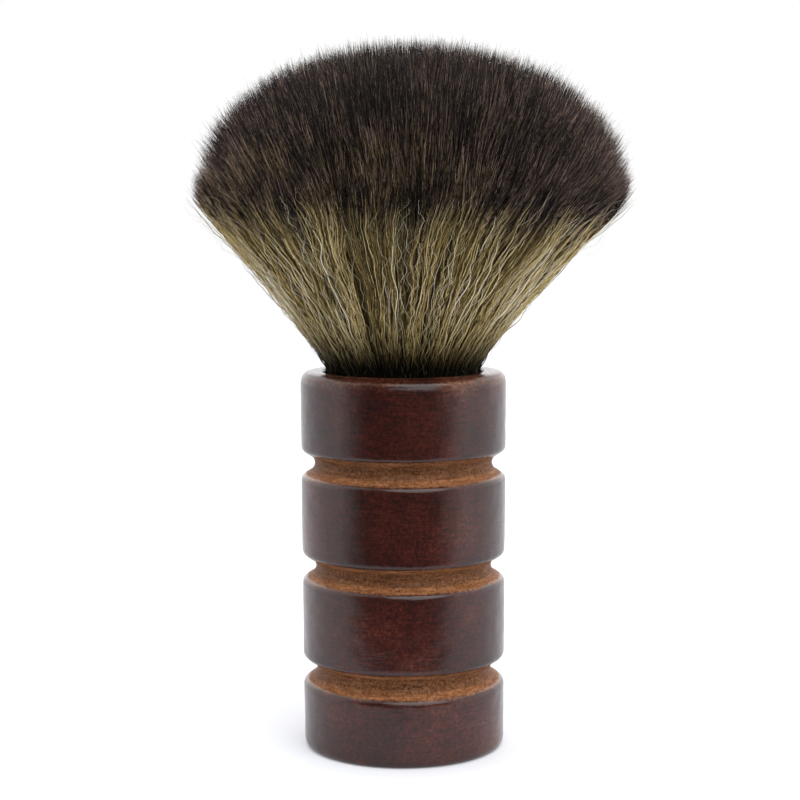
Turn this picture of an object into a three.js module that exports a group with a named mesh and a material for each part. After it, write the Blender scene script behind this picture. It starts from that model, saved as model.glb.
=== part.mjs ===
// Neck duster brush for a hair salon: a turned wooden handle that stands on its flat base, with a round,
// flared tuft of bristles glued into a socket in its top.
//
// Millimetres, +Z up. The brush is turned about the Z axis, and the origin is the middle of its base.

import * as THREE from "three";

// ---- Driving dimensions ----

const AROUND = 48; // straight sides in every turned surface
const CURVE_STEPS = 3; // straight steps along each rounded corner
const GAP = 0.3; // clearance between neighbouring pieces

const handle = {
  height: 74,
  baseRadius: 19.65,
  topRadius: 20,
  baseRounding: 1.6,
  shoulderRounding: 2.2,
};

const groove = {
  count: 3,
  firstHeight: 15.45, // middle of the lowest groove
  pitch: 20.3,
  opening: 5.3, // between its two lips
  neckHeight: 2.6, // of the narrow part between its two sloping sides
  slopeDepth: 2.2, // how far in the sloping sides reach
  neckDepth: 2.8, // how far in the curved neck aims, halfway up
  lipRounding: 0.6,
};

const socket = {
  radius: 15.6,
  depth: 14,
  mouthRounding: 0.5,
};

const adhesive = {
  floor: 1, // thickness under the knot
  wall: 0.6, // thickness around the knot
  height: 4.5,
};

const plugHeight = 5; // hardened resin that holds the roots of the bristles

const thread = {
  diameter: 0.8,
  turns: 4,
};

const tuft = {
  boundRadius: 13.3, // squeezed by the thread
  mouthRadius: 15.1, // where it leaves the handle
  flareEndRadius: 37.6,
  flareEndHeight: 101.8,
  widestRadius: 41.9,
  widestHeight: 110,
  height: 136.3, // top of the dome
};

// ---- Worked-out dimensions ----

const socketFloor = handle.height - socket.depth;
const bedBottom = socketFloor + GAP;
const bedRadius = socket.radius - GAP;
const plugBottom = bedBottom + adhesive.floor + GAP;
const plugRadius = bedRadius - adhesive.wall - GAP;
const tuftBottom = plugBottom + plugHeight + GAP;
const threadRadius = tuft.boundRadius + GAP + thread.diameter / 2;
const threadTop = tuftBottom + thread.turns * thread.diameter;

// ---- Materials ----

function finish(color, roughness) {
  return new THREE.MeshStandardMaterial({ color, roughness, metalness: 0 });
}

const stainedWood = finish(0x4a2a24, 0.4);
const driedGlue = finish(0xc9b27a, 0.35);
const castResin = finish(0x3a2c1e, 0.25);
const linenThread = finish(0xcfc3a2, 0.9);
const naturalBristle = finish(0x6f6442, 0.75);

// ---- Outlines ----

// Joins corners, each [radius, height, rounding], by straight lines. A corner with a rounding is left out,
// and a curve that begins and ends that far from it takes its place.
function outlineThrough(corners) {
  const places = corners.map(([radius, height]) => new THREE.Vector2(radius, height));
  const outline = new THREE.Path();
  outline.moveTo(places[0].x, places[0].y);
  for (let i = 1; i < corners.length; i += 1) {
    const rounding = corners[i][2] ?? 0;
    const corner = places[i];
    if (rounding === 0) {
      outline.lineTo(corner.x, corner.y);
      continue;
    }
    const start = towards(corner, places[i - 1], rounding);
    const end = towards(corner, places[i + 1], rounding);
    outline.lineTo(start.x, start.y);
    outline.quadraticCurveTo(corner.x, corner.y, end.x, end.y);
  }
  return outline;
}

function towards(from, to, distance) {
  return to.clone().sub(from).setLength(distance).add(from);
}

// Turns an outline about the Z axis. Outlines run up the outside, so that the faces point out.
function turned(name, outline, material) {
  const geometry = new THREE.LatheGeometry(outline.getPoints(CURVE_STEPS), AROUND);
  geometry.rotateX(Math.PI / 2);
  const mesh = new THREE.Mesh(geometry, material);
  mesh.name = name;
  return mesh;
}

// ---- Handle ----

// The wall narrows a little from the top to the base.
function wallRadius(height) {
  return THREE.MathUtils.mapLinear(height, 0, handle.height, handle.baseRadius, handle.topRadius);
}

// A lip, a slope inwards, a hollow neck, and the same again outwards.
function grooveCorners(index) {
  const middle = groove.firstHeight + index * groove.pitch;
  const radius = wallRadius(middle);
  const lip = groove.opening / 2;
  const neck = groove.neckHeight / 2;
  return [
    [wallRadius(middle - lip), middle - lip, groove.lipRounding],
    [radius - groove.slopeDepth, middle - neck],
    [radius - groove.neckDepth, middle, neck / 2],
    [radius - groove.slopeDepth, middle + neck],
    [wallRadius(middle + lip), middle + lip, groove.lipRounding],
  ];
}

function makeHandle() {
  const grooves = Array.from({ length: groove.count }, (_, index) => grooveCorners(index));
  const outline = outlineThrough([
    [0, 0],
    [handle.baseRadius, 0, handle.baseRounding],
    ...grooves.flat(),
    [handle.topRadius, handle.height, handle.shoulderRounding],
    [socket.radius, handle.height, socket.mouthRounding],
    [socket.radius, socketFloor],
    [0, socketFloor],
  ]);
  return turned("handle", outline, stainedWood);
}

// ---- Inside the socket ----

// Dried glue: a shallow cup that lines the foot of the socket.
function makeAdhesiveBed() {
  const innerRadius = bedRadius - adhesive.wall;
  const outline = outlineThrough([
    [0, bedBottom],
    [bedRadius, bedBottom],
    [bedRadius, bedBottom + adhesive.height],
    [innerRadius, bedBottom + adhesive.height],
    [innerRadius, bedBottom + adhesive.floor],
    [0, bedBottom + adhesive.floor],
  ]);
  return turned("adhesive_bed", outline, driedGlue);
}

// The resin puck that the roots of the bristles are cast into.
function makeKnotPlug() {
  const edgeRounding = 0.6;
  const outline = outlineThrough([
    [0, plugBottom],
    [plugRadius, plugBottom, edgeRounding],
    [plugRadius, plugBottom + plugHeight, edgeRounding],
    [0, plugBottom + plugHeight],
  ]);
  return turned("knot_plug", outline, castResin);
}

// Thread wound around the bristles, with each turn lying on the one below.
function makeBindingThread() {
  const radius = thread.diameter / 2;
  const outline = new THREE.Path();
  outline.moveTo(threadRadius - radius, tuftBottom);
  for (let turn = 0; turn < thread.turns; turn += 1) {
    const middle = tuftBottom + radius + turn * thread.diameter;
    outline.absarc(threadRadius, middle, radius, -Math.PI / 2, Math.PI / 2, false);
  }
  outline.lineTo(threadRadius - radius, threadTop);
  outline.closePath();
  return turned("binding_thread", outline, linenThread);
}

// ---- Bristles ----

// The whole tuft as one body: squeezed by the thread, flaring from the handle, and domed on top.
function makeBristleTuft() {
  const outline = outlineThrough([
    [0, tuftBottom],
    [tuft.boundRadius, tuftBottom],
    [tuft.boundRadius, threadTop],
    [tuft.mouthRadius, handle.height],
    [tuft.flareEndRadius, tuft.flareEndHeight],
  ]);
  const domeHeight = tuft.height - tuft.widestHeight;
  const brow = (tuft.flareEndHeight + tuft.widestHeight) / 2; // where the flare turns upright
  outline.quadraticCurveTo(tuft.widestRadius, brow, tuft.widestRadius, tuft.widestHeight);
  outline.absellipse(0, tuft.widestHeight, tuft.widestRadius, domeHeight, 0, Math.PI / 2, false);
  return turned("bristle_tuft", outline, naturalBristle);
}

// ---- Assembly ----

const brush = new THREE.Group();
brush.name = "neck_duster_brush";
brush.add(
  makeHandle(),
  makeAdhesiveBed(),
  makeKnotPlug(),
  makeBindingThread(),
  makeBristleTuft(),
);

export default brush;
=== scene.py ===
"""Looks of a neck duster brush: a turned, lacquered wooden handle with a flared tuft of bristles.

Metres, +Z up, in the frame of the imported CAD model. The brush is turned about the Z axis. The camera looks
along +Y, with +X to its right.
"""

import math

import bpy
import numpy as np
from mathutils import Euler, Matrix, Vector, noise


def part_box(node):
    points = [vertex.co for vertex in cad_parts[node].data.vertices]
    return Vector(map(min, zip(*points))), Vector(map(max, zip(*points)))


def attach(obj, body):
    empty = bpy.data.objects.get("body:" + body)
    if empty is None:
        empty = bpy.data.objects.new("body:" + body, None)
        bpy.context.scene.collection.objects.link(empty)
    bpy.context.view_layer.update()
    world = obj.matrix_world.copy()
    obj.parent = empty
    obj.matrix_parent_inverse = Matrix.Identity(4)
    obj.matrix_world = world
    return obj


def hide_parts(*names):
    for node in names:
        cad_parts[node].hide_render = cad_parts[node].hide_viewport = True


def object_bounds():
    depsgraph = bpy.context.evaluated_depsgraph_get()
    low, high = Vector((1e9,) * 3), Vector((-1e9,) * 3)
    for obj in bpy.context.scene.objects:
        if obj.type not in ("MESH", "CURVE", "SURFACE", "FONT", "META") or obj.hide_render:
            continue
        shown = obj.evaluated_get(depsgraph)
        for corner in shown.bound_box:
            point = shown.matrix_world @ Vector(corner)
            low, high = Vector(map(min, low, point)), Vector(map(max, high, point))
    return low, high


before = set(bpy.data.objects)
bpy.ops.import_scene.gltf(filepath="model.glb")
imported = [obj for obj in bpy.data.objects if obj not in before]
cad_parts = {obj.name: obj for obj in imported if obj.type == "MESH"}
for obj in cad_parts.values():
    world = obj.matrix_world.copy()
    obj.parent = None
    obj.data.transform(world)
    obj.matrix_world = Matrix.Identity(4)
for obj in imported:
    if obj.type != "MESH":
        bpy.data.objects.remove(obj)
cad_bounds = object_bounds()

MM = 0.001
UP = np.array([0.0, 0.0, 1.0])
RIGHT = np.array([1.0, 0.0, 0.0])
random = np.random.default_rng(7)


# ---- Sizes, read from the frame ----

def cad_outline(node):
    """The node's half section, [radius, height] from its foot on the axis to its end on the axis."""
    tiny = 1e-7
    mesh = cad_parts[node].data
    places = {
        v.index: (round(v.co.x, 6), round(v.co.z, 6))
        for v in mesh.vertices
        if abs(v.co.y) < tiny and v.co.x > -tiny
    }
    beside = {}
    for edge in mesh.edges:
        a, b = (places.get(i) for i in edge.vertices)
        if a and b:
            beside.setdefault(a, set()).add(b)
            beside.setdefault(b, set()).add(a)
    outline = [min(beside)]
    while onward := beside[outline[-1]].difference(outline):
        outline.append(min(onward, key=lambda place: math.dist(place, outline[-1])))
    return np.array(outline)


handle_outline = cad_outline("handle")
tuft_outline = cad_outline("bristle_tuft")

handle_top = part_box("handle")[1].z
root_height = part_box("bristle_tuft")[0].z
bound_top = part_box("binding_thread")[1].z
widest = int(tuft_outline[:, 0].argmax())
head_radius, head_height = tuft_outline[widest]
dome_height = tuft_outline[-1, 1] - head_height
bound_radius = tuft_outline[1, 0]
mouth_radius = np.interp(handle_top, tuft_outline[:widest, 1], tuft_outline[:widest, 0])
flare_check = (handle_top + head_height) / 2  # a height on the straight part of the flare
flare_radius = np.interp(flare_check, tuft_outline[:widest, 1], tuft_outline[:widest, 0])
flare_angle = math.atan2(flare_radius - mouth_radius, flare_check - handle_top)


# ---- Meshes ----

def make_mesh(name, points, faces, uvs=None):
    """A smooth mesh. faces holds one array of corner numbers for each number of corners a face has."""
    mesh = bpy.data.meshes.new(name)
    corners = np.concatenate([f.ravel() for f in faces]).astype(np.int32)
    sizes = np.concatenate([np.full(len(f), f.shape[1]) for f in faces])
    mesh.vertices.add(len(points))
    mesh.vertices.foreach_set("co", points.astype(np.float32).ravel())
    mesh.loops.add(len(corners))
    mesh.loops.foreach_set("vertex_index", corners)
    mesh.polygons.add(len(sizes))
    mesh.polygons.foreach_set("loop_start", (np.cumsum(sizes) - sizes).astype(np.int32))
    mesh.polygons.foreach_set("use_smooth", np.ones(len(sizes), bool))
    if uvs is not None:
        layer = mesh.uv_layers.new(name=SHADE_MAP)
        layer.data.foreach_set("uv", uvs[corners].astype(np.float32).ravel())
    mesh.update(calc_edges=True)
    return mesh


def add_piece(name, mesh, material, slot, *nodes):
    """Shows a mesh as a piece of the brush, in place of those CAD nodes."""
    piece = bpy.data.objects.new(name, mesh)
    bpy.context.scene.collection.objects.link(piece)
    mesh.materials.append(material)
    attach(piece, "root")
    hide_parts(*nodes)
    return piece


def resampled(outline, step):
    """The same outline with points about a step apart."""
    lengths = np.linalg.norm(np.diff(outline, axis=0), axis=1)
    along = np.concatenate([[0], np.cumsum(lengths)])
    stations = np.linspace(0, along[-1], round(along[-1] / step) + 1)
    return np.stack([np.interp(stations, along, outline[:, i]) for i in range(2)], axis=1)


def spin(outline, around):
    """Turns an outline that starts and ends on the axis into points and faces."""
    rings = outline[1:-1]
    turn = np.arange(around) * math.tau / around
    circle = np.stack([np.cos(turn), np.sin(turn)], axis=1)
    points = np.empty((len(rings), around, 3))
    points[:, :, :2] = rings[:, None, :1] * circle
    points[:, :, 2] = rings[:, 1:]
    foot = [0, 0, outline[0, 1]]
    end = [0, 0, outline[-1, 1]]
    points = np.concatenate([points.reshape(-1, 3), [foot, end]])
    number = np.arange(len(rings) * around).reshape(len(rings), around)
    beside = np.roll(number, -1, axis=1)
    quads = np.stack([number[:-1], beside[:-1], beside[1:], number[1:]], axis=-1).reshape(-1, 4)
    middle = np.full(around, len(rings) * around)
    foot_fan = np.stack([beside[0], number[0], middle], axis=1)
    end_fan = np.stack([number[-1], beside[-1], middle + 1], axis=1)
    return points, [quads, np.concatenate([foot_fan, end_fan])]


def roughened(points, depth, size, seed):
    """Moves points in or out from the axis by up to about depth, in soft lumps of that size."""
    shift = np.array([noise.noise(Vector(p / size) + Vector((seed, 0, 0))) for p in points])
    moved = points.copy()
    radius = np.linalg.norm(points[:, :2], axis=1)
    moved[:, :2] *= (1 + depth * shift / np.maximum(radius, depth))[:, None]
    return moved


def tubes(paths, radii, sides, reference):
    """Closed tubes along paths of shape (count, stations, 3), none of which runs along the reference."""
    count, stations, _ = paths.shape
    along = np.gradient(paths, axis=1)
    along /= np.linalg.norm(along, axis=2, keepdims=True)
    first = np.cross(along, reference)
    first /= np.linalg.norm(first, axis=2, keepdims=True)
    second = np.cross(along, first)
    turn = np.arange(sides) * math.tau / sides
    offsets = first[:, :, None] * np.cos(turn)[:, None] + second[:, :, None] * np.sin(turn)[:, None]
    points = paths[:, :, None] + offsets * radii[:, :, None, None]
    number = np.arange(count * stations * sides).reshape(count, stations, sides)
    beside = np.roll(number, -1, axis=2)
    walls = np.stack([number[:, :-1], beside[:, :-1], beside[:, 1:], number[:, 1:]], axis=-1)
    ends = np.concatenate([number[:, 0, ::-1], number[:, -1]])
    return points.reshape(-1, 3), [walls.reshape(-1, 4), ends]


# ---- Material building ----

def add_node(tree, kind, inputs, **settings):
    """Adds a node. Inputs are by name or number, each a value or another node's output."""
    made = tree.nodes.new(kind)
    for setting, value in settings.items():
        setattr(made, setting, value)
    for socket, value in inputs.items():
        if isinstance(value, bpy.types.NodeSocket):
            tree.links.new(value, made.inputs[socket])
        else:
            made.inputs[socket].default_value = value
    return made


class Surface:
    """A material with one Principled shader, and short calls for its nodes."""

    def __init__(self, name, **values):
        self.material = bpy.data.materials.new(name)
        self.material.use_nodes = True
        self.tree = self.material.node_tree
        self.shader = self.tree.nodes["Principled BSDF"]
        for socket, value in values.items():
            self.shader.inputs[socket.replace("_", " ")].default_value = value

    def node(self, kind, inputs, **settings):
        return add_node(self.tree, kind, inputs, **settings)

    def drive(self, socket, output):
        self.tree.links.new(output, self.shader.inputs[socket])

    def position(self, stretch=(1, 1, 1)):
        """Place on the object, in metres, stretched along each axis."""
        place = self.node("ShaderNodeTexCoord", {}).outputs["Object"]
        return self.node("ShaderNodeVectorMath", {0: place, 1: stretch}, operation="MULTIPLY").outputs[0]

    def noise(self, vector, scale, detail=4.0, roughness=0.55):
        values = {"Vector": vector, "Scale": scale, "Detail": detail, "Roughness": roughness}
        return self.node("ShaderNodeTexNoise", values).outputs["Fac"]

    def ramp(self, value, *stops):
        """Colours along a value. Each stop is (place, colour)."""
        made = self.node("ShaderNodeValToRGB", {0: value})
        elements = made.color_ramp.elements
        while len(elements) < len(stops):
            elements.new(0.5)
        for element, (place, colour) in zip(elements, stops):
            element.position = place
            element.color = (*colour, 1)
        return made.outputs["Color"]

    def mix(self, share, first, second, blend="MIX"):
        values = {0: share, 6: first, 7: second}
        return self.node("ShaderNodeMix", values, data_type="RGBA", blend_type=blend).outputs[2]

    def multiply(self, colour, by):
        return self.mix(1.0, colour, by, "MULTIPLY")

    def math(self, operation, first, second):
        return self.node("ShaderNodeMath", {0: first, 1: second}, operation=operation).outputs[0]

    def sum_of(self, *shares):
        """Adds values up. Each share is (value, weight)."""
        total = 0.0
        for value, weight in shares:
            total = self.math("ADD", total, self.math("MULTIPLY", value, weight))
        return total

    def nudged(self, value, by, weight):
        """The value, raised or lowered by how far another one lies above or below 0.5."""
        return self.math("ADD", value, self.math("MULTIPLY", self.math("SUBTRACT", by, 0.5), weight))

    def spread(self, value, low, high, start=0.0, end=1.0):
        """Runs smoothly from start to end as the value runs from low to high."""
        values = {"Value": value, "From Min": low, "From Max": high, "To Min": start, "To Max": end}
        return self.node("ShaderNodeMapRange", values, interpolation_type="SMOOTHSTEP").outputs[0]

    def bump(self, height, distance):
        normal = self.node("ShaderNodeBump", {"Height": height, "Distance": distance}).outputs[0]
        self.drive("Normal", normal)
        self.drive("Coat Normal", normal)


# ---- Materials ----

SHADE_MAP = "OFBake"  # bristle colours: across is the bristle's shade (in the tuft, with painted side light and front shade in it), up is the way along it
DYE_LINE = 0.65  # height in the shade map at which a bristle's dark tip begins
BARENESS = "bareness"  # handle attribute: 0 on the barrels, 1 deep in a groove, and a little on the shoulder and along the rim, for wear and painted highlight


def stained_wood():
    """Red-brown stain under satin lacquer, thin and pale in the grooves and darkened with painted shade in
    their necks, with the pores of the wood.
    """
    wood = Surface("stained_wood", Specular_IOR_Level=0.05, Coat_IOR=1.5, Coat_Roughness=0.17)
    place = wood.position()
    blotches = wood.noise(place, scale=75, detail=3)
    mottle = wood.noise(place, scale=1500, detail=4, roughness=0.6)
    turning = wood.noise(wood.position((1, 1, 9)), scale=260, detail=4, roughness=0.6)
    flecks = wood.noise(place, scale=2600, detail=2, roughness=0.5)
    bareness = wood.node("ShaderNodeAttribute", {}, attribute_name=BARENESS).outputs["Fac"]

    stained = wood.ramp(
        wood.sum_of((mottle, 0.40), (blotches, 0.35), (turning, 0.25)),
        (0.38, (0.011, 0.0042, 0.0036)),
        (0.50, (0.035, 0.0072, 0.0048)),
        (0.62, (0.076, 0.0150, 0.0090)),
    )
    bare = wood.ramp(
        wood.sum_of((mottle, 0.35), (turning, 0.35), (flecks, 0.3)),
        (0.38, (0.100, 0.042, 0.019)),
        (0.50, (0.225, 0.092, 0.038)),
        (0.62, (0.380, 0.180, 0.088)),
    )
    uneven_bareness = wood.sum_of((bareness, 1.0), (blotches, 0.3), (mottle, 0.15))
    bare_share = wood.spread(uneven_bareness, 0.25, 0.50)
    # Painted shade: the bare wood is darkened in the neck of each groove, where the groove shades itself.
    painted_neck_shade = wood.spread(wood.sum_of((bareness, 1.0), (mottle, 0.1)), 0.80, 0.92, start=1.0, end=0.68)
    colour = wood.mix(bare_share, stained, wood.multiply(bare, painted_neck_shade))
    pores = wood.spread(flecks, 0.30, 0.40, start=0.55, end=1.0)
    wood.drive("Base Color", wood.multiply(colour, pores))
    wood.drive("Roughness", wood.spread(mottle, 0.3, 0.7, start=0.45, end=0.65))
    wood.drive("Coat Weight", wood.spread(bareness, 0.15, 0.4, start=0.8, end=0.05))
    wood.bump(wood.sum_of((mottle, 0.6), (turning, 0.7), (pores, 0.4)), distance=0.04 * MM)
    return wood.material


def dried_glue():
    """Hard amber glue, cloudy and slightly lumpy."""
    glue = Surface("dried_glue", Roughness=0.3)
    clouds = glue.noise(glue.position(), scale=400)
    glue.drive("Base Color", glue.ramp(clouds, (0.35, (0.36, 0.24, 0.10)), (0.7, (0.60, 0.47, 0.26))))
    glue.bump(clouds, distance=0.1 * MM)
    return glue.material


def cast_resin():
    """Dark brown resin, smoother than the glue."""
    resin = Surface("cast_resin", Roughness=0.22)
    clouds = resin.noise(resin.position(), scale=500)
    colour = resin.ramp(clouds, (0.35, (0.020, 0.012, 0.006)), (0.7, (0.075, 0.046, 0.022)))
    resin.drive("Base Color", colour)
    resin.bump(clouds, distance=0.06 * MM)
    return resin.material


def linen_thread():
    """Matt thread with fine fibres that run round it."""
    linen = Surface("linen_thread", Roughness=0.85)
    fibres = linen.noise(linen.position((1, 1, 3)), scale=2500)
    linen.drive("Base Color", linen.ramp(fibres, (0.3, (0.42, 0.35, 0.22)), (0.7, (0.70, 0.62, 0.45))))
    linen.bump(fibres, distance=0.1 * MM)
    return linen.material


def bristle_shades(surface):
    """The bristle's shade, with any painted side light and front shade in it, and the way along it, both
    from 0 to 1, and a noise that streaks along it.
    """
    shade_map = surface.node("ShaderNodeUVMap", {}, uv_map=SHADE_MAP).outputs[0]
    parts = surface.node("ShaderNodeSeparateXYZ", {0: shade_map})

    def streaks(across, along):
        scales = {0: shade_map, 1: (across, along, 0)}
        stretched = surface.node("ShaderNodeVectorMath", scales, operation="MULTIPLY")
        return surface.noise(stretched.outputs[0], scale=1.0, detail=2.0)

    return parts.outputs[0], parts.outputs[1], streaks


def bristle():
    """Roots darkened with painted shade, an olive and golden stretch, and nearly black tips whose very ends
    are lightened with painted light. The black is lightened with painted light where it begins, on the
    underside of the head.
    """
    hair = Surface("bristle", Roughness=0.5, Specular_IOR_Level=0.14)
    shade, along, streaks = bristle_shades(hair)
    # Both ramps take the shade, so they carry its painted side light and front shade.
    golden = hair.ramp(
        hair.nudged(shade, by=streaks(180, 3), weight=0.5),
        (0.20, (0.030, 0.018, 0.007)),
        (0.44, (0.190, 0.130, 0.044)),
        (0.64, (0.540, 0.400, 0.135)),
        (0.82, (0.930, 0.760, 0.380)),
    )
    dyed = hair.ramp(
        hair.nudged(streaks(140, 3), by=shade, weight=0.5),
        (0.46, (0.003, 0.002, 0.002)),
        (0.60, (0.012, 0.007, 0.006)),
        # The lightest strokes are partly a random tone of the bristles and partly painted highlight on the
        # fibres.
        (0.72, (0.270, 0.180, 0.145)),
    )
    # Painted light: the dark tips are lightened just where the dye begins, on the underside of the head,
    # which gets little light from below.
    painted_underside_light = hair.spread(along, DYE_LINE, DYE_LINE + 0.25, start=2.4, end=1.0)
    dye_share = hair.spread(along, DYE_LINE - 0.12, DYE_LINE + 0.10)
    colour = hair.mix(dye_share, golden, hair.multiply(dyed, painted_underside_light))
    # Painted light: the very ends of the tips are mixed towards pale brown, for light shining through the
    # thin tips.
    painted_tip_light = hair.spread(along, 0.975, 1.0, start=0.0, end=0.4)
    colour = hair.mix(painted_tip_light, colour, (0.20, 0.14, 0.10, 1))
    # Painted shade: the bristles are darkened towards their roots, where the packed tuft shades them.
    roots = hair.spread(along, 0.02, 0.24, start=0.015, end=1.0)
    hair.drive("Base Color", hair.multiply(colour, roots))
    return hair.material


def crimped_hair():
    """Nearly white hairs that are golden low down, and darkened with painted shade towards the root."""
    hair = Surface("crimped_hair", Roughness=0.3, Specular_IOR_Level=0.8)
    shade, along, streaks = bristle_shades(hair)
    white = hair.ramp(
        hair.nudged(shade, by=streaks(150, 2), weight=0.4),
        (0.05, (0.60, 0.47, 0.22)),
        (0.40, (0.92, 0.80, 0.52)),
        (0.80, (1.00, 0.94, 0.78)),
    )
    golden = (0.42, 0.32, 0.11, 1)
    colour = hair.mix(hair.spread(along, 0.1, 0.5), golden, white)
    # Painted shade: darker towards the root, where the tuft shades the hairs.
    roots = hair.spread(along, 0.0, 0.25, start=0.03, end=1.0)
    hair.drive("Base Color", hair.multiply(colour, roots))
    return hair.material


# ---- Handle ----

FOOT_HEIGHT = 2 * MM  # the rounded foot lies below it
SHOULDER_HEIGHT = 4 * MM  # the rounded shoulder lies within it of the top


def wall_radius(height):
    """The radius of the barrels, which narrow a little towards the base."""
    barrels = handle_outline[handle_outline[:, 0] > 0.95 * handle_outline[:, 0].max()]
    heights = barrels[:, 1]
    barrels = barrels[(heights > FOOT_HEIGHT) & (heights < handle_top - SHOULDER_HEIGHT)]
    slope, foot = np.polyfit(barrels[:, 1], barrels[:, 0], 1)
    return foot + slope * height


def bareness_at(points):
    """How bare the wood is: the depth of a groove, or a little wear on the shoulder and along the rim, with
    a painted highlight along the shoulder and the rim's outer edge.
    """
    shoulder_share = 0.10
    shoulder_reach = 2 * MM
    face_share = 0.03
    edge_share = 0.09
    edge_reach = 0.6 * MM
    radius = np.linalg.norm(points[:, :2], axis=1)
    height = points[:, 2]
    below_top = handle_top - height
    on_socket = radius < 0.85 * wall_radius(0)
    off_barrels = (height < FOOT_HEIGHT) | (below_top < SHOULDER_HEIGHT) | on_socket
    depth = np.where(off_barrels, 0, wall_radius(height) - radius)
    depth = np.clip(depth / depth.max(), 0, 1)
    # Partly wear and partly painted highlight: the paler band on the shoulder and the pale ring at the rim's
    # outer edge also stand in for where the lacquer catches the light.
    shoulder_wear_and_highlight = shoulder_share * np.exp(-((below_top / shoulder_reach) ** 2))

    top_face = handle_outline[handle_outline[:, 1] > handle_top - 0.01 * MM]
    edge_radius = top_face[:, 0].max()
    edge_wear_and_highlight = face_share + edge_share * np.exp(-(((radius - edge_radius) / edge_reach) ** 2))
    return np.where(below_top < edge_reach, edge_wear_and_highlight, np.maximum(depth, shoulder_wear_and_highlight))


def make_handle():
    """The turned handle, with the slight unevenness of sanded wood. It stands flat."""
    points, faces = spin(resampled(handle_outline, step=0.35 * MM), around=192)
    smooth = roughened(points, depth=0.10 * MM, size=11 * MM, seed=3)
    smooth = roughened(smooth, depth=0.05 * MM, size=2.5 * MM, seed=9)
    underside = points[:, 2] < 0.1 * MM
    smooth[underside] = points[underside]
    mesh = make_mesh("handle_turned", smooth, faces)
    attribute = mesh.attributes.new(BARENESS, "FLOAT", "POINT")
    attribute.data.foreach_set("value", bareness_at(points).astype(np.float32))
    add_piece("handle_turned", mesh, stained_wood(), "stained_wood", "handle")


# ---- Inside the socket ----

def make_adhesive_bed():
    """The cup of glue, with the uneven rim it dried with."""
    points, faces = spin(resampled(cad_outline("adhesive_bed"), step=0.4 * MM), around=96)
    points = roughened(points, depth=0.12 * MM, size=1.5 * MM, seed=4)
    deepest_sag = 0.9 * MM
    sag_width = 6 * MM
    low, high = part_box("adhesive_bed")
    share = np.clip((points[:, 2] - low.z) / (high.z - low.z), 0, 1)
    swing = np.array([noise.noise(Vector((x, y, 0)) / sag_width) for x, y, _ in points])
    sag = (0.5 + 0.5 * swing) * deepest_sag
    points[:, 2] -= share * sag * (share > 0.3)
    add_piece("glue_cup", make_mesh("glue_cup", points, faces), dried_glue(), "dried_glue", "adhesive_bed")


def make_knot_plug():
    """The resin puck, slightly lumpy."""
    points, faces = spin(resampled(cad_outline("knot_plug"), step=0.4 * MM), around=96)
    points = roughened(points, depth=0.15 * MM, size=2.0 * MM, seed=5)
    add_piece("resin_plug", make_mesh("resin_plug", points, faces), cast_resin(), "cast_resin", "knot_plug")


def make_binding_thread():
    """One thread wound tightly around the roots, with both ends tucked in under the turns."""
    low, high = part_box("binding_thread")
    radius = 0.38 * MM
    turns = 3.2
    steps_per_turn = 72
    level_turns = 0.2  # at each end, before the thread begins to climb
    tuck_turns = 0.08  # at each end, over which it goes in and thins
    tuck_depth = 0.1 * MM
    end_thickness = 0.35  # share of the full thickness
    strands = 40  # lumps along one turn
    winding = np.linspace(0, turns, round(turns * steps_per_turn))
    lift = np.interp(winding, [level_turns, turns - level_turns], [low.z + radius, high.z - radius])
    tuck = np.clip(np.minimum(winding, turns - winding) / tuck_turns, 0, 1)
    reach = high.x - radius - tuck_depth * (1 - tuck)
    turn = winding * math.tau
    path = np.stack([reach * np.cos(turn), reach * np.sin(turn), lift], axis=1)[None]
    twist = 1 + 0.05 * np.sin(turn * strands)
    radii = (radius * (end_thickness + (1 - end_thickness) * tuck) * twist)[None]
    points, faces = tubes(path, radii, sides=12, reference=UP)
    mesh = make_mesh("wound_thread", points, faces)
    add_piece("wound_thread", mesh, linen_thread(), "linen_thread", "binding_thread")


# ---- Where bristles run ----
#
# A bristle's place is a point in the unit disc, whose middle is the axis and whose rim is the outside of
# the tuft.

FLARE_BOW = 1.2 * MM  # how far the sides of the flare are hollowed
HEAD_LEAN = 1.9 * MM  # how far the head leans to the right


def reach_of(share):
    """How far bristles run from mouth to dome. The share is 0 at the axis and 1 at the outside."""
    angle = flare_angle * share
    across = np.sin(angle)
    up = np.cos(angle)
    start = handle_top - head_height
    a = (across / head_radius) ** 2 + (up / dome_height) ** 2
    b = mouth_radius * share * across / head_radius**2 + start * up / dome_height**2
    c = (mouth_radius * share / head_radius) ** 2 + (start / dome_height) ** 2 - 1
    return (-b + np.sqrt(b * b - a * c)) / a


def fan_out(places, travelled):
    """Points at distances travelled above the mouth. places are where each belongs in the unit disc."""
    share = np.maximum(np.linalg.norm(places, axis=-1, keepdims=True), 1e-6)
    outward = places / share
    angle = flare_angle * share
    along = travelled[..., None]
    fraction = np.clip(along / reach_of(np.minimum(share, 1)), 0, 1)
    bow = FLARE_BOW * share * np.sin(math.pi * np.sqrt(fraction))
    across = mouth_radius * share + np.sin(angle) * along - bow
    height = handle_top + np.cos(angle) * along
    lean = HEAD_LEAN * np.clip((height - handle_top) / (head_height - handle_top), 0, 1) ** 2
    points = np.concatenate([outward * across, height], axis=-1)
    points[..., :1] += lean
    return points


def in_socket(places):
    """The stretch below the mouth: from the foot of the tuft to the top of the thread that squeezes it."""
    roots = np.stack([places * bound_radius, places * bound_radius], axis=1)
    heights = np.array([root_height, bound_top])
    heights = np.broadcast_to(heights[None, :, None], (len(places), 2, 1))
    return np.concatenate([roots, heights], axis=-1)


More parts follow.
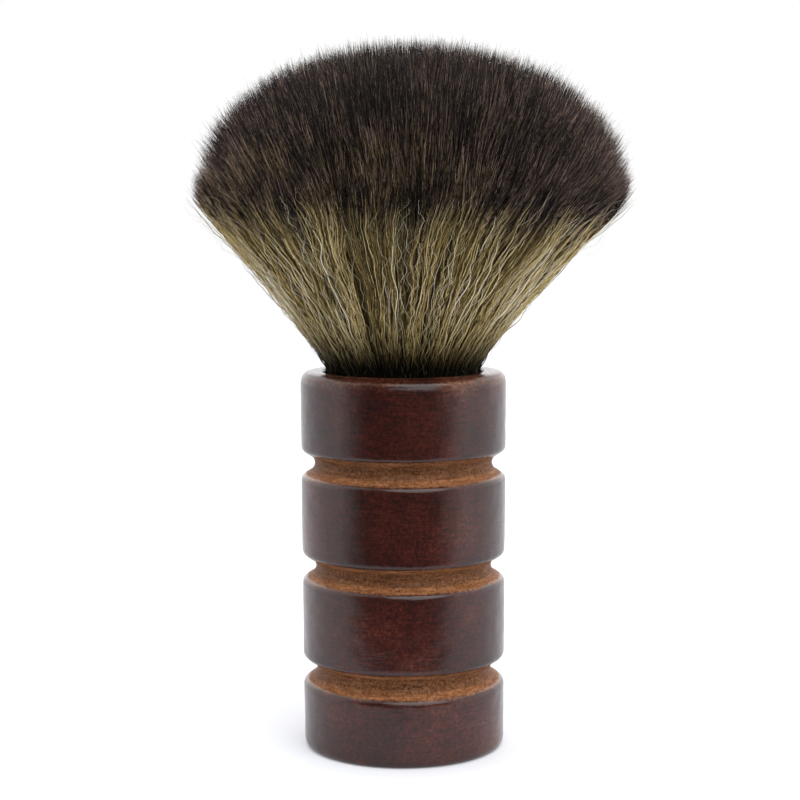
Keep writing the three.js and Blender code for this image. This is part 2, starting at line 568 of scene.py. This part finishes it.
def on_disc(count, inner, outer):
    """Places spread evenly over a ring of the unit disc."""
    share = np.sqrt(random.uniform(inner**2, outer**2, count))
    turn = random.uniform(0, math.tau, count)
    return np.stack([share * np.cos(turn), share * np.sin(turn)], axis=1)


def disc_radius(travelled):
    """The radius that the unit disc has grown to, at distances travelled above the mouth."""
    return (mouth_radius + travelled * math.sin(flare_angle))[..., None]


def waves(count, travelled, length, size):
    """How far each bristle wanders from its place along its way, in the unit disc."""
    total = np.zeros((*travelled.shape, 2))
    for octave in (1.0, 1.7):
        phase = random.uniform(0, math.tau, (count, 1, 2))
        wavelength = length / octave * random.uniform(0.75, 1.35, (count, 1, 1))
        total += np.sin(travelled[..., None] * math.tau / wavelength + phase) * size / octave
    return total / disc_radius(travelled)


class Locks:
    """Loose locks that neighbouring bristles gather into, wave with, and take part of their shade from."""

    def __init__(self, count, pull, length, size):
        self.centres = on_disc(count, 0, 0.98)
        self.phases = random.uniform(0, math.tau, (count, 1, 2))
        self.lengths = random.uniform(0.7, 1.4, (count, 1, 1)) * length
        self.shades = random.uniform(0, 1, count)
        self.pull = pull
        self.size = size

    def nearest(self, places):
        return np.array([np.argmin(((self.centres - place) ** 2).sum(axis=1)) for place in places])

    def shift(self, places, lock, fractions, travelled):
        """How far the lock draws its bristles aside, in the unit disc. Locks part again at the tips."""
        gather = self.pull * np.sin(math.pi * fractions**0.8)
        towards_middle = (self.centres[lock] - places)[:, None] * gather[:, None]
        wave = np.sin(travelled[..., None] * math.tau / self.lengths[lock] + self.phases[lock])
        onset = np.minimum(fractions * 2, 1)[:, None]
        return towards_middle + wave * onset * self.size / disc_radius(travelled)


broad_locks = Locks(150, pull=0.22, length=26 * MM, size=0.35 * MM)
fine_locks = Locks(1300, pull=0.46, length=14 * MM, size=0.18 * MM)


# ---- Bristles ----

LENGTH_SPREAD = 0.8 * MM  # of the bristles' ends around the dome
DYED_FROM = 0.865  # share of its way at which a usual bristle's dark tip begins
STRAY = 0.018  # how far a usual tip strays from its place, in the unit disc


def bristle_lengths(share):
    """Most bristles end near the CAD dome: just past it in the middle, and just short of it at the brow."""
    past_dome = np.interp(share, [0, 0.5, 0.75, 0.9, 1], [0.4, 0.2, -0.5, -1.3, -0.8]) * MM
    return reach_of(share) + past_dome + random.normal(0, LENGTH_SPREAD, len(share))


def bristle_paths(count, inner, outer, fractions, crimp):
    """Places, paths, radii, shades and dye lines of bristles. crimp is their waves' length and size."""
    places = on_disc(count, inner, outer)
    rightward = places[:, 0]
    fractions = np.asarray(fractions)
    travelled = bristle_lengths(np.linalg.norm(places, axis=1))[:, None] * fractions
    at = places[:, None] + waves(count, travelled, *crimp)

    # Bristles at either side are painted paler and those at the front and back darker, as painted side light
    # and painted front shade. Those on the right are dyed further down. Pale bristles, and those in pale
    # locks, have shorter dark tips, so the painted side light shortens the dark tips at either side too.
    shade = random.uniform(0, 1, count) * 0.7 + 0.23 * rightward**2 - 0.06
    dyed_from = DYED_FROM - 0.06 * rightward + random.normal(0, 0.08, count)
    for locks in (broad_locks, fine_locks):
        lock = locks.nearest(places)
        at = at + locks.shift(places, lock, fractions, travelled)
        shade += 0.13 * locks.shades[lock]
        dyed_from += 0.12 * (locks.shades[lock] - 0.5)
    dyed_from = np.clip(dyed_from + 0.15 * (shade - 0.5), 0.4, 0.94)

    stray = random.normal(0, STRAY, (count, 1, 2))
    at = at + stray * fractions[:, None] ** 1.5
    paths = np.concatenate([in_socket(places), fan_out(at, travelled)], axis=1)
    taper = np.concatenate([[1, 1], np.interp(fractions, [0, 0.7, 0.92, 1], [1, 0.95, 0.7, 0.15])])
    radii = taper * random.uniform(0.045, 0.080, (count, 1)) * MM
    return places, paths, radii, shade, dyed_from


def shade_places(paths, shade, dyed_from, sides):
    """Where each bristle's points lie in the shade map: one narrow upright strip for each bristle."""
    strip = 0.004  # width
    margin = 0.002  # kept free along the map's edges
    steps = np.linalg.norm(np.diff(paths[:, 2:], axis=1), axis=2)
    travelled = np.concatenate([np.zeros((len(paths), 3)), np.cumsum(steps, axis=1)], axis=1)
    share = np.linalg.norm(paths[:, 2, :2], axis=1) / mouth_radius
    along = travelled / reach_of(np.minimum(share, 1))[:, None]
    dyed_from = dyed_from[:, None]
    before = along * DYE_LINE / dyed_from
    past = DYE_LINE + (along - dyed_from) * (1 - DYE_LINE) / (1 - dyed_from)
    along = np.clip(np.where(along < dyed_from, before, past), margin, 1 - margin)
    across = np.clip(0.01 + 0.98 * shade, margin, 1 - margin - 2 * strip)
    across = across[:, None, None] + strip * np.arange(sides) / sides
    across, along = np.broadcast_arrays(across, along[..., None])
    return np.stack([across, along], axis=-1).reshape(-1, 2)


def add_bristles(name, paths, radii, shade, dyed_from, material):
    """Shows bristles as three-sided tubes, in one piece."""
    sides = 3
    points, faces = tubes(paths, radii, sides, reference=RIGHT)
    mesh = make_mesh(name, points, faces, shade_places(paths, shade, dyed_from, sides))
    add_piece(name, mesh, material, "bristle", "bristle_tuft")


def make_bristles():
    """The tuft, in sectors: crimped bristles outside, and straighter ones packed inside them."""
    sectors = 12
    all_along = np.linspace(0, 1, 27)
    fewer = np.linspace(0, 1, 9)
    near_tip = [0, 0.5, 0.75, 0.9, 1.0]
    material = bristle()
    layers = {
        "outer": bristle_paths(9500, 0.925, 0.985, all_along, crimp=(4.5 * MM, 0.08 * MM)),
        "middle": bristle_paths(12000, 0.80, 0.94, fewer, crimp=(12 * MM, 0.12 * MM)),
        "inner": bristle_paths(32000, 0.0, 0.80, near_tip, crimp=(20 * MM, 0.12 * MM)),
    }
    for layer, (places, *details) in layers.items():
        turn = np.arctan2(places[:, 1], places[:, 0]) / math.tau % 1.0
        sector = np.floor(turn * sectors).astype(int)
        for i in range(sectors):
            mine = (detail[sector == i] for detail in details)
            add_bristles(f"{layer}_bristles_{i + 1:02d}", *mine, material)


# ---- Loose hairs ----

def loose_hairs(name, count, inner, ends, crimp, spring, thickness, material):
    """Hairs on the tuft that end at their own share of the way. spring is how far they stand off."""
    places = on_disc(count, inner, 1.0)
    share = np.linalg.norm(places, axis=1)
    fractions = np.linspace(0, 1, 44)
    travelled = (reach_of(share) * random.uniform(*ends, count))[:, None] * fractions
    at = places[:, None] + waves(count, travelled, *crimp)
    drift = waves(count, travelled, length=25 * MM, size=0.6 * MM)
    standing = random.uniform(-0.3, 1, (count, 1)) * spring / mouth_radius * fractions**2
    at = at * (1 + standing[..., None]) + drift * fractions[:, None]
    paths = np.concatenate([in_socket(places * 0.98), fan_out(at, travelled)], axis=1)
    taper = np.concatenate([[1, 1], np.interp(fractions, [0, 0.7, 1], [1, 0.9, 0.3])])
    radii = taper * random.uniform(*thickness, (count, 1))
    shade = random.uniform(0, 1, count)
    add_bristles(name, paths, radii, shade, np.full(count, DYE_LINE), material)


def make_loose_hairs():
    """Pale crimped hairs among the outermost bristles, and thin ones that stand off the flare."""
    pale = crimped_hair()
    loose_hairs(
        "crimped_hairs",
        count=60,
        inner=0.965,
        ends=(0.60, 0.90),
        crimp=(10 * MM, 0.17 * MM),
        spring=0.3 * MM,
        thickness=(0.085 * MM, 0.120 * MM),
        material=pale,
    )
    loose_hairs(
        "fine_crimped_hairs",
        count=240,
        inner=0.90,
        ends=(0.45, 0.95),
        crimp=(7 * MM, 0.10 * MM),
        spring=0.2 * MM,
        thickness=(0.035 * MM, 0.050 * MM),
        material=pale,
    )
    loose_hairs(
        "stray_hairs",
        count=120,
        inner=0.97,
        ends=(0.80, 1.04),
        crimp=(7 * MM, 0.40 * MM),
        spring=1.4 * MM,
        thickness=(0.025 * MM, 0.040 * MM),
        material=pale,
    )


# ---- Studio ----

def make_floor():
    """A pale sheet to stand on. It ends just in front, so that only the foot of the handle mirrors it."""
    far = 3.0
    front = -0.075
    corners = [(-far, front, 0), (far, front, 0), (far, far, 0), (-far, far, 0)]
    mesh = bpy.data.meshes.new("floor")
    mesh.from_pydata(corners, [], [(0, 1, 2, 3)])
    floor = bpy.data.objects.new("floor", mesh)
    bpy.context.scene.collection.objects.link(floor)
    paper = Surface("floor_paper", Roughness=0.9, Base_Color=(0.68, 0.69, 0.73, 1), Emission_Strength=0.14)
    mesh.materials.append(paper.material)


def make_world():
    """A white light tent, open and dark on the camera's side. The camera itself sees plain white."""
    white = (1, 1, 1, 1)
    towards_light = (0.08, 1.0, 0.0)
    world = bpy.data.worlds.new("tent")
    bpy.context.scene.world = world
    world.use_nodes = True
    tree = world.node_tree
    tree.nodes.clear()

    def output(kind, inputs, number=0, **settings):
        return add_node(tree, kind, inputs, **settings).outputs[number]

    direction = output("ShaderNodeTexCoord", {})
    facing = output("ShaderNodeVectorMath", {0: direction, 1: towards_light}, 1, operation="DOT_PRODUCT")
    edge = {"Value": facing, "From Min": -0.82, "From Max": -0.18, "To Min": 0.06, "To Max": 1.6}
    strength = output("ShaderNodeMapRange", edge, interpolation_type="SMOOTHSTEP")
    tent = output("ShaderNodeBackground", {"Color": white, "Strength": strength})
    seen = output("ShaderNodeBackground", {"Color": white})
    by_camera = output("ShaderNodeLightPath", {})
    either = output("ShaderNodeMixShader", {0: by_camera, 1: tent, 2: seen})
    add_node(tree, "ShaderNodeOutputWorld", {0: either})


def soft_box(name, place, size, power):
    """A round area light that faces the brush."""
    light = bpy.data.lights.new(name, "AREA")
    light.shape = "DISK"
    light.size = size
    light.energy = power
    lamp = bpy.data.objects.new(name, light)
    lamp.location = place
    aim = Vector((0, 0, handle_top)) - Vector(place)
    lamp.rotation_euler = aim.to_track_quat("-Z", "Y").to_euler()
    bpy.context.scene.collection.objects.link(lamp)


def make_camera():
    """Looks slightly down on the middle of the brush."""
    pitch = math.radians(6.0)
    roll = math.radians(0.17)
    distance = 0.381
    sideways = -0.5 * MM
    data = bpy.data.cameras.new("camera")
    data.sensor_width = 36
    data.lens = 87.9
    camera = bpy.data.objects.new("camera", data)
    middle = (cad_bounds[0].z + cad_bounds[1].z) / 2
    camera.location = (sideways, -distance * math.cos(pitch), middle + distance * math.sin(pitch))
    camera.rotation_euler = Euler((math.pi / 2 - pitch, roll, 0), "XYZ")
    bpy.context.scene.collection.objects.link(camera)
    bpy.context.scene.camera = camera


# ---- The scene ----

bpy.context.scene.view_settings.view_transform = "Standard"
make_camera()
make_world()
make_floor()
soft_box("front_light", place=(0.15, -0.5, 0.5), size=0.8, power=4.4)
make_handle()
make_adhesive_bed()
make_knot_plug()
make_binding_thread()
make_bristles()
make_loose_hairs()
